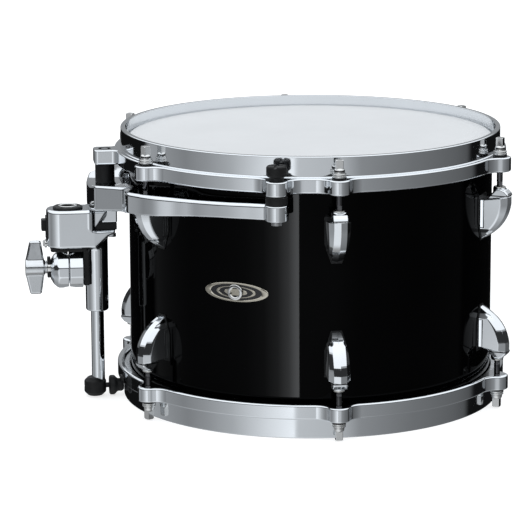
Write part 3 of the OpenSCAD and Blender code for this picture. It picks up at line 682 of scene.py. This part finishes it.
# the rows are joined by straight lines, which the kernel then smooths
arm_a = np.arange(8, 90.01, 0.25)
kernel = np.exp(-0.5 * (np.arange(-10, 11) * 0.25 / 0.9) ** 2)
arm_rows = []
for col in range(1, 5):
    values = np.interp(arm_a, ARM[:, 0], ARM[:, col])
    arm_rows.append(np.convolve(np.pad(values, 10, "reflect"), kernel / kernel.sum(), "valid"))


def arm_field(x, y, z):
    rad, ang = np.hypot(x, y), np.degrees(np.arctan2(-x, np.abs(y)))
    inner, outer, low, high = (np.interp(ang, arm_a, row) for row in arm_rows)
    wall = slab(rad, R + inner, R + outer)
    bar = np.maximum(rounded(wall, slab(z, low - 9, high), 3.2), rounded(wall, slab(z, low, high + 9), 1.5))
    bar = np.maximum(bar, (17 - ang) * math.pi / 180 * rad)
    block_out = R + np.interp(ang, (79, 84, 90), (37.2, 38.2, 38.6))
    flank, face = 0.743 * np.abs(y) - 0.669 * x - 160.6, rad - block_out
    plan = rounded(np.maximum(flank, R + 6.2 - rad), face, 1.6)
    plan = smax(plan, (69 - ang) * math.pi / 180 * rad, 1)
    block = rounded(plan, slab(z, low, high), 2.4)
    d = smin(bar, block, 2.5)
    a = math.radians(90 - ARM_HALF_ANGLE)
    ear = np.hypot(x + END_EAR_X * math.sin(a), np.abs(y) - END_EAR_X * math.cos(a)) - 10
    d = smin(d, rounded(ear, slab(z, END_EAR_H1 - 14, END_EAR_H1), 1.3), 1.6)
    out = -x - R
    neck = smax(slab(out, 12.6, 26.5), (out - 26.5) * 0.86 + (z - NECK_H0 - 1) * 0.5, 1)
    neck = smin(neck, slab(out, 12.6, 21.5), 2)
    return smin(d, smax(smax(neck, slab(z, NECK_H0, 60), 0.8), np.abs(y) - 13, 1.6), 3)


END_A = math.radians(90 - ARM_HALF_ANGLE)
arm_lo = (-R - 39, -END_EAR_X * math.cos(END_A) - 10, NECK_H0)
arm = solid(arm_field, arm_lo, (-END_EAR_X * math.sin(END_A) + 10, -arm_lo[1], 86), 0.8)
piece("mount_arm_casting", Shape(arm.v + (0, 0, MID), arm.f, arm.n), "root", POLISHED,
      ["mount_arm"])


def cap_field(x, y, z):
    r = np.hypot(x, y)
    body = rounded(r - 8.85, slab(z, 3.4, 13), 1.7)
    neck = smax(r - 6.25, slab(z, 0, 6), 0.4)
    d = smin(smax(body, (r - 8.85) * 0.7 + (3.6 - z) * 0.7 + 0.6, 0.8), neck, 1.2)
    for across in (x, y):
        d = smax(d, -smax(np.abs(across) - 1.2, 11.6 - z, 0.8), 1.1)
    return d


cap = solid(cap_field, (-9, -9, 0), (9, 9, 13), 0.42)
for name, s in (("front", 1), ("rear", -1)):
    azimuth = MOUNT + s * ARM_HALF_ANGLE
    bush = turned_part([(3.1, END_EAR_H1), (9.6, END_EAR_H1), (9.6, SKIRT_BOTTOM), (6.2, SKIRT_BOTTOM, 0.1),
                        (6.2, SKIRT_TOP, 0.1), (3.1, SKIRT_TOP, 0.1)], 0.9, 72)
    piece(name + "_rubber_bush", bush.moved(END_EAR_X).at(azimuth), "root", RUBBER,
          [name + "_spacer"])
    piece(name + "_rubber_cap", cap.moved(END_EAR_X, 0, SKIRT_TOP).at(azimuth), "root", RUBBER,
          [name + "_cap"])
seat = box("centre_spacer")[0][2] - MID
centre_bush = turned_part([(3.1, seat), (8.75, seat), (8.75, SKIRT_BOTTOM), (6.2, SKIRT_BOTTOM, 0.1),
                           (6.2, SKIRT_TOP, 0.5), (3.1, SKIRT_TOP, 0.1)], 0.9, 72)
piece("centre_rubber_bush", centre_bush.moved(SPACER_X).at(MOUNT), "root", RUBBER,
      ["centre_spacer"])

# ---- L-rod receiver ----


LOWER = np.array([(BODY_OUT, BODY_H0), (TUBE_X + 1, BODY_H0), (R + 26, 22.5), (R + 20, 28), (R + 14.5, 30.3),
                  (R + 14, SHELF_H), (BODY_IN - 2.5, SHELF_H), (BODY_IN + 0.6, SHELF_H + 0.8),
                  (BODY_IN + 2.6, SHELF_H + 3.2), (BODY_IN + 3.2, SHELF_H + 6), (BODY_IN + 3.2, BODY_H1 - 4),
                  (BODY_OUT, BODY_H1 - 4)])
GUSSET = np.array([(BODY_IN + 6, SHELF_H - 1), (R + 32.9, SHELF_H + 0.3), (R + 28, 40.8), (R + 22.6, 49.3),
                   (R + 22.6, 50.6), (BODY_IN + 6, BODY_H1 - 1)])


def from_flat(x, y):
    """Distance out of the tube's axis towards the rod's flat, and across that direction."""
    c, s = math.cos(FLAT_TURN), math.sin(FLAT_TURN)
    return y * s - (x - TUBE_X) * c, (x - TUBE_X) * s + y * c


def receiver_field(x, y, z):
    ends = []
    for wx, turn in ((x - BODY_OUT, 13), (BODY_IN - x, 3)):
        wx, wy = wx + turn, np.abs(y) - 17 + turn
        ends.append(np.minimum(np.maximum(wx, wy), 0) + np.hypot(np.maximum(wx, 0), np.maximum(wy, 0)) - turn)
    d = rounded(np.maximum(*ends), slab(z, BODY_H0, BODY_H1), 2.8)
    taper = np.maximum(BODY_IN - x, 0) * 0.06
    d = np.minimum(d, rounded(polygon(LOWER, x, z), ends[0] + taper, 2.6))
    d = d - 0.42 * np.exp(-((x - BODY_IN - 4.4) / 1.1) ** 2) * np.clip((z - SHELF_H + 1) / 4, 0, 1)
    d = smin(d, rounded(polygon(GUSSET, x, z), np.abs(y) - 14.5, 1.6), 1.5)
    d = smin(d, rounded(np.hypot(x - TUBE_X, y) - TUBE_R, slab(z, -43, SHELF_H - 3), 2), 5)
    bore = np.hypot(x - L_ROD_X, y)
    d = smax(d, 6.1 - bore, 0.6)
    d = smax(d, -smax(bore - 8.8, BODY_H1 - 7 - z, 0.3), 0.6)
    plug = smax(smax(np.abs(y) - 8, slab(z, 24, 45), 1), BODY_OUT - 4.5 - x, 0.5)
    out, across = from_flat(x, y)
    screw_hole = smax(np.hypot(across, z - SET_SCREW_H) - 2.55, 2 - out, 0.3)
    return smax(smax(d, -plug, 0.5), -screw_hole, 0.5)


receiver = solid(receiver_field, (R + 13, -17.5, -43), (BODY_OUT, 17.5, BODY_H1), 0.6)
piece("receiver_casting", receiver.at(MOUNT), "root", POLISHED, ["receiver"])


def block(lo, hi, r=0.8, step=0.7):
    """A box with every edge rounded."""
    return solid(lambda x, y, z: rounded(rounded(slab(x, lo[0], hi[0]), slab(y, lo[1], hi[1]), r),
                                         slab(z, lo[2], hi[2]), r), lo, hi, step)


def on_mount(name, shape, mat, nodes, body="root"):
    return piece(name, shape.at(MOUNT), body, mat, nodes)


pad_side = np.array([(R + 12.6, SHELF_H), (R + 33, SHELF_H), (R + 33, SHELF_H + 0.5), (R + 29, NECK_H0),
                     (R + 12.6, NECK_H0)])
pad = solid(lambda x, y, z: rounded(polygon(pad_side, x, z), np.abs(y) - 13, 0.5), (R + 12.6, -13, SHELF_H),
            (R + 33, 13, NECK_H0), 0.6)
on_mount("shelf_rubber_pad", pad, RUBBER, ["receiver_pad"])
steel_bush = turned_part([(6.5, BODY_H1 - 7), (8.75, BODY_H1 - 7), (8.75, BODY_H1 + 3, 0.8),
                          (7.6, BODY_H1 + 3, 0.4), (6.5, BODY_H1 + 2.5)], 0.3, 96)
on_mount("l_rod_steel_bush", steel_bush.moved(L_ROD_X), BRIGHT_STEEL, ["l_rod_bush"])
sleeve = turned_part([(6.1, BODY_H1 - 7), (6.48, BODY_H1 - 7), (6.48, BODY_H1 + 2.2), (6.1, BODY_H1 + 2)],
                     0.1, 96)
on_mount("l_rod_bore_sleeve", sleeve.moved(L_ROD_X), NYLON, ["l_rod_bush"])
collar = turned_part([(8.8, 0), (13.5, 0), (13.5, 1.1, 0.5), (12.3, 2.2, 0.7), (8.8, 2.2)], 0.3, 96)
on_mount("bush_rubber_collar", collar.moved(L_ROD_X, 0, BODY_H1), RUBBER, ["bush_collar"])
plug = joined([block((BODY_OUT - 4.4, -7.9, 24.1), (BODY_OUT + 0.8, 7.9, 44.9), 0.6, 0.5),
               block((BODY_OUT - 0.5, -5, 32), (BODY_OUT + 4.7, 5, 42.5), 1.2, 0.4)])
on_mount("end_plug_moulding", plug, NYLON, ["end_plug"])
round_part = turned_part([(0, -9), (2.5, -9), (2.5, 0.02), (3.9, 0.02), (3.9, 2, 0.7), (0, 2)], 0.2, 48)
square = block((BODY_OUT + 1.5, -2.4, -2.4), (BODY_OUT + 3.6, 2.4, 2.4), 0.5, 0.25).moved(z=20)
key_screw = joined([along_x(round_part, BODY_OUT, 20), Shape(square.v, square.f)])
on_mount("memory_key_screw", key_screw, BRIGHT_STEEL, ["key_screw"])

# ---- L-rod clamp ----


def twelve_sided(y, z, half, k=0.5):
    y, z = np.abs(y), np.abs(z)
    d = smax(y, z, k)
    for a in (30, 60):
        d = smax(d, y * math.cos(math.radians(a)) + z * math.sin(math.radians(a)), k)
    return d - half


def jaw_inner_field(x, y, z):
    d = rounded(twelve_sided(y, z - JAW_H, JAW_HALF), slab(x, JAW_IN, L_ROD_X - JAW_GAP), 0.7)
    return smax(d, L_ROD_HOLE - np.hypot(x - L_ROD_X, y), 0.5)


def jaw_outer_field(x, y, z):
    side, rad = twelve_sided(y, z - JAW_H, JAW_HALF), np.hypot(y, z - JAW_H)
    end = JAW_OUT + 3 - L_ROD_X
    cone = np.array([(19, -1), (19, 4.6), (17, 9.5), (13.4, 13.7), (9.6, end - 0.5), (8.6, end),
                     (-3, end), (-3, -1)])
    d = smax(side, polygon(cone, rad, x - L_ROD_X), 0.9)
    d = smax(d, L_ROD_X + JAW_GAP - x, 0.7)
    return smax(d, L_ROD_HOLE - np.hypot(x - L_ROD_X, y), 0.5)


inner = solid(jaw_inner_field, (JAW_IN, -JAW_HALF, JAW_H - JAW_HALF),
              (L_ROD_X - JAW_GAP, JAW_HALF, JAW_H + JAW_HALF), 0.5)
outer = solid(jaw_outer_field, (L_ROD_X + JAW_GAP, -JAW_HALF, JAW_H - JAW_HALF),
              (JAW_OUT + 3, JAW_HALF, JAW_H + JAW_HALF), 0.5)
on_mount("clamp_jaw_inner", inner, CHROME, ["jaw_inner"])
on_mount("clamp_jaw_outer", outer, CHROME, ["jaw_outer"])


# Painted shade: a black piece filling the gap between the receiver casting's underside and the jaws, and
# between the inner jaw and the tube, standing in for the shade in that gap.
def jaw_gap_shade_field(x, y, z):
    top = rounded(slab(x, JAW_IN - 5.4, BODY_OUT - 3), np.abs(y) - 14, 3)
    top = rounded(top, slab(z, GAP_SHADE_H, BODY_H0), 0.8)
    back = rounded(slab(x, JAW_IN - 5.4, JAW_IN - 0.1), np.abs(y) - 11, 0.9)
    back = rounded(back, slab(z, -18, GAP_SHADE_H + 1), 0.9)
    d = smin(top, back, 1.5)
    d = smax(d, L_ROD_HOLE - np.hypot(x - L_ROD_X, y), 0.4)
    return smax(d, TUBE_R + 0.1 - np.hypot(x - TUBE_X, y), 0.4)


jaw_gap_shade = solid(jaw_gap_shade_field, (JAW_IN - 5.4, -14, -18), (BODY_OUT - 3, 14, BODY_H0), 0.6)
on_mount("jaw_gap_painted_shade", jaw_gap_shade, NYLON, ["jaw_liner"])
wing_collar = turned_part([(4.3, JAW_OUT + 3.02), (6.1, JAW_OUT + 3.02), (6.1, WASHER_OUT - 0.02),
                           (4.3, WASHER_OUT - 0.02)], 0.3, 72)
on_mount("wing_nut_washer", along_x(wing_collar, 0, WING_H), BRIGHT_STEEL, ["wing_washer"])


def lock_plate_field(x, y, z):
    plate = smax(np.hypot(y, z) - 9.7, np.abs(y) - 5.4, 0.8)
    return smax(rounded(plate, slab(x, JAW_OUT + 3.05, WASHER_OUT - 0.05), 0.5), 6.15 - np.hypot(y, z), 0.2)


plate = solid(lock_plate_field, (JAW_OUT + 3, -5.5, -9.8), (WASHER_OUT, 5.5, 9.8), 0.4)
on_mount("wing_nut_lock_plate", plate.moved(z=WING_H), NYLON, ["wing_washer"])


def wing_field(x, y, z):
    """The nut, the same above and below its axis: two paddles on a round hub."""
    x, up = x - WASHER_OUT, np.abs(z)
    rad = np.hypot(y, z)
    stem = rounded(rad - 5.9, slab(x, 0.15, 9), 0.6)
    hub = rounded(rad - 7.2, slab(x, 3, 19.9), 1)
    blade = np.array([(4.9, 0), (17.6, 0), (17.6, 5), (13.8, 22.4), (7.4, 22.4), (4.9, 5)])
    paddle = polygon(blade, x, up) - 2.3
    thick = np.abs(y) - (3.45 - 0.05 * np.clip(up - 4, 0, 20))
    d = smin(smin(stem, hub, 1.5), bevel(paddle, thick, 1.2, 0.6), 1.2)
    d = smax(d, x - 19.8, 0.4)
    return smax(d, 4.05 - rad - np.maximum(x - 16.2, 0) * 4, 0.3)


wing = solid(wing_field, (WASHER_OUT, -8, -25), (WASHER_OUT + 20, 8, 25), 0.45)
on_mount("wing_nut_casting", wing.moved(z=WING_H), SATIN, ["wing_nut"], "wing_nut")

# ---- support rod, its cap and the bumper ----

CAP_H0 = cap_l[2] - MID
ROD_H0, ROD_H1 = support_l[2] - MID, support_h[2] - MID


def support_field(x, y, z):
    d = smax(np.hypot(x - TUBE_X, y) - SUPPORT_R, slab(z, ROD_H0, ROD_H1), 0.8)
    return smax(d, -smax(FLAT_DEPTH - from_flat(x, y)[0], FLAT_END_H - z, 0.4), 0.4)


support = solid(support_field, (TUBE_X - SUPPORT_R, -SUPPORT_R, ROD_H0),
                (TUBE_X + SUPPORT_R, SUPPORT_R, ROD_H1), 0.5)
on_mount("support_rod_bar", support, CHROME, ["support_rod"], "support_rod")


def cap_end_field(x, y, z):
    r = np.hypot(x - CAP_X, y)
    low, high = CAP_H0, CAP_H0 + 17
    d = smax(r - 10, slab(z, low, high), 0.6)
    d = smax(d, (r - 10 + slab(z, low, high) + 3.4) * DIAGONAL, 0.45)
    grooves = 0.25 * np.cos(np.clip(z - CAP_H0 - 8.5, -3.2, 3.2) * math.pi / 3.2)
    d = d + np.maximum(grooves, 0) * 0.6
    return smax(d, -smax(np.hypot(x - TUBE_X, y) - SUPPORT_R - 0.05, CAP_H0 + 4 - z, 0.2), 0.4)


end_cap = solid(cap_end_field, (CAP_X - 10, -10, CAP_H0), (CAP_X + 10, 10, CAP_H0 + 17), 0.5)
on_mount("support_rod_cap", end_cap, RUBBER, ["rod_cap"], "support_rod")
knob = turned_part([(2.35, 0), (7.8, 0), (9, 1, 0.6), (9, 4.4), (8, 5.6), (5.9, 7.6, 1.2), (5.9, 11.4, 1.2),
                    (4.4, 13.4, 0.8), (0.02, 13.4, 0), (0.02, 0.4, 0)], 0.5, 80)
knob = Shape(knob.v * (1, 1, -1), [f[:, ::-1] for f in knob.f])
on_mount("bumper_rubber_knob", along_x(knob, CAP_X - 10 - 2.8, BUMPER_H), RUBBER, ["bumper_knob"],
         "bumper_knob")

# ---- CAD nodes that keep their own shape ----

KEPT = {"lug_gaskets": RUBBER, "lug_screws": PLAIN_STEEL, "lug_screw_washers": PLAIN_STEEL,
        "receiver_screws": PLAIN_STEEL, "mount_bolts": PLAIN_STEEL, "eye_bolt": PLAIN_STEEL,
        "set_screw": BLACKENED, "bumper_stud": BLACKENED}
for name, mat in KEPT.items():
    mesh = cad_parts[name].data
    mesh.materials.clear()
    mesh.materials.append(mat)

# ---- camera ----

camera = bpy.data.objects.new("camera", bpy.data.cameras.new("camera"))
bpy.context.scene.collection.objects.link(camera)
camera.location = (-0.3410, -2.4788, 0.6612)
aim = Vector((-0.0429, 0.0059, 0.1183)) - camera.location
turn = aim.to_track_quat("-Z", "Y").to_matrix() @ Matrix.Rotation(-0.0040, 3, "Z")
camera.rotation_euler = turn.to_euler()
camera.data.lens = 191.1
camera.data.sensor_width = 36
camera.data.clip_end = 50
bpy.context.scene.camera = camera

# ---- studio: a pale floor, and a surround whose soft cards give the plating its bands ----

scene = bpy.context.scene
scene.view_settings.view_transform = "Standard"
FRONT_A = -7.8  # azimuth of the studio's front


def ramp(tree, factor, stops):
    """A colour ramp; stops are (position, grey or colour)."""
    node = tree.nodes.new("ShaderNodeValToRGB")
    els = node.color_ramp.elements
    while len(els) > 1:
        els.remove(els[-1])
    for i, (pos, value) in enumerate(stops):
        el = els[0] if i == 0 else els.new(pos)
        el.position = pos
        el.color = (*(value if hasattr(value, "__len__") else (value * 0.965, value, value * 1.035)), 1)
    tree.links.new(factor, node.inputs["Fac"])
    return node.outputs["Color"]


def around(stops):
    """Stops given by degrees from the studio's front, for a ramp that runs from -180 to 180."""
    return [((a + 180) / 360, v) for a, v in stops]


HORIZON = around([(-180, 0.3), (-174, 0.3), (-168, 0.006), (-118, 0.006), (-113, 0.36), (-96, 0.29),
                  (-80, 0.235), (-64, 0.31), (-48, 0.43), (-34, 0.63), (-20, 0.84), (-9.5, 0.98),
                  (-8.1, 0.56), (0, 0.54), (16, 0.5), (30, 0.27), (48, 0.22), (64, 0.175), (80, 0.15),
                  (98, 0.12), (108, 0.09), (113, 0.006), (168, 0.006), (174, 0.3), (180, 0.3)])
UPPER = around([(-180, 0.3), (-150, 0.24), (-120, 0.03), (120, 0.03), (150, 0.24), (180, 0.3)])
GROUND = around([(-180, 0.3), (-120, 0.3), (-70, 0.5), (-40, 0.8), (0, 0.85), (20, 0.7), (40, 0.35),
                 (60, 0.24), (100, 0.17), (140, 0.2), (180, 0.3)])

world = bpy.data.worlds.new("studio")
scene.world = world
world.use_nodes = True
tree = world.node_tree
coords = tree.nodes.new("ShaderNodeTexCoord")
split = tree.nodes.new("ShaderNodeSeparateXYZ")
tree.links.new(coords.outputs["Generated"], split.inputs[0])
dx, dy, dz = (split.outputs[k] for k in "XYZ")
c, s = math.cos(math.radians(FRONT_A)), math.sin(math.radians(FRONT_A))
ahead = math_node(tree, "ADD", math_node(tree, "MULTIPLY", dx, s), math_node(tree, "MULTIPLY", dy, -c))
aside = math_node(tree, "ADD", math_node(tree, "MULTIPLY", dx, c), math_node(tree, "MULTIPLY", dy, s))
azimuth = math_node(tree, "ARCTAN2", aside, ahead)
turn_share = math_node(tree, "MULTIPLY_ADD", azimuth, 1 / (2 * math.pi), 0.5)
height = math_node(tree, "MULTIPLY_ADD", math_node(tree, "ARCSINE", dz), 1 / math.pi, 0.5)


def level(degrees):
    return degrees / 180 + 0.5


horizon, upper, ground_ring = (ramp(tree, turn_share, stops) for stops in (HORIZON, UPPER, GROUND))
zenith = ramp(tree, height, [(level(0), 1.0), (level(34), 1.05), (level(60), 1.15), (1, 1.2)])
ground = mixed(tree, between(tree, height, 0, 1, (level(-80), level(-64))), (0.3, 0.3, 0.3), ground_ring)
low = mixed(tree, between(tree, height, 0, 1, (level(-34), level(-21))), ground, horizon)
mid_sky = mixed(tree, between(tree, height, 0, 1, (level(-4), level(-2))), low, upper)
sky = mixed(tree, between(tree, height, 0, 1, (level(16), level(20))), mid_sky, zenith)
back = tree.nodes["Background"]
tree.links.new(sky, back.inputs["Color"])
back.inputs["Strength"].default_value = 1.0


def band_light(first, last, distance, drop, tall, power, stops):
    """A far upright soft box between two azimuths that only the lacquered shell reflects.
    stops grade it from its first edge to its last."""
    lamp = bpy.data.lights.new("shell_band", "AREA")
    middle, half = math.radians((first + last) / 2), math.radians(last - first) / 2
    lamp.shape = "RECTANGLE"
    lamp.size, lamp.size_y = 2 * distance * math.tan(half), tall
    lamp.energy = power
    lamp.use_nodes = True
    t = lamp.node_tree
    glow = t.nodes["Emission"]
    sep = t.nodes.new("ShaderNodeSeparateXYZ")
    t.links.new(t.nodes.new("ShaderNodeNewGeometry").outputs["Parametric"], sep.inputs[0])
    t.links.new(ramp(t, sep.outputs["X"], stops), glow.inputs["Color"])
    ob = bpy.data.objects.new("shell_band", lamp)
    scene.collection.objects.link(ob)
    ob.location = (distance * math.sin(middle), -distance * math.cos(middle), drop)
    ob.rotation_euler = (math.pi / 2, 0, middle)
    ob.visible_diffuse = False
    receivers = bpy.data.collections.new("lit_by_shell_band")
    receivers.objects.link(SHELL)
    ob.light_linking.receiver_collection = receivers


band_light(-48, -14.6, 6, -1.15, 3.4, 640,
           [(0, 0.0), (0.35, 0.02), (0.6, 0.12), (0.8, 0.4), (0.95, 0.95), (1, 1.0)])

floor_mesh = bpy.data.meshes.new("floor")
floor_mesh.from_pydata([(-14, -14, 0), (14, -14, 0), (14, 14, 0), (-14, 14, 0)], [], [(0, 1, 2, 3)])
floor = bpy.data.objects.new("floor", floor_mesh)
scene.collection.objects.link(floor)
floor.visible_glossy = False
floor_mat = bpy.data.materials.new("pale_floor")
tree, bsdf = nodes_of(floor_mat)
bsdf.inputs["Base Color"].default_value = (0.55, 0.55, 0.55, 1)
bsdf.inputs["Roughness"].default_value = 0.9
bsdf.inputs["Specular IOR Level"].default_value = 0.0
bsdf.inputs["Emission Color"].default_value = (1, 1, 1, 1)
bsdf.inputs["Emission Strength"].default_value = 0.72
floor_mesh.materials.append(floor_mat)
